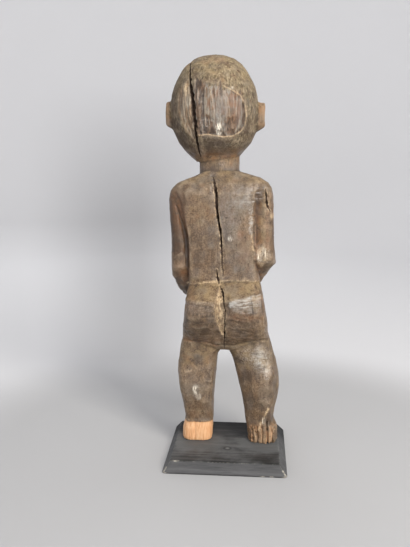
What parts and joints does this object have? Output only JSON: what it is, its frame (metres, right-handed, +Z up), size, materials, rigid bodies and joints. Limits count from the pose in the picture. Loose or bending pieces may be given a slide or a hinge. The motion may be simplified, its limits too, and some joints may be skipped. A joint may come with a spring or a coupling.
{
  "type": "standing carved figure",
  "caption": "Standing wooden figure of a person with hands on the belly and an egg-shaped head, cracked with age, on a bevelled black board.",
  "frame": {"origin": "centre of the plinth's underside, which the object stands on", "axes": "+Z up along the figure. The figure looks along -Y, so the back that the picture shows faces +Y. +X is the figure's own left side."},
  "size_m": [0.1214, 0.1182, 0.3975],
  "materials": {
    "carved_wood": "weathered, encrusted, partly worn to a low shine",
    "black_wood": "black stain, matt"
  },
  "bodies": {
    "root": {"figure": "carved_wood", "plinth": "black_wood"}
  },
  "joints": []
}
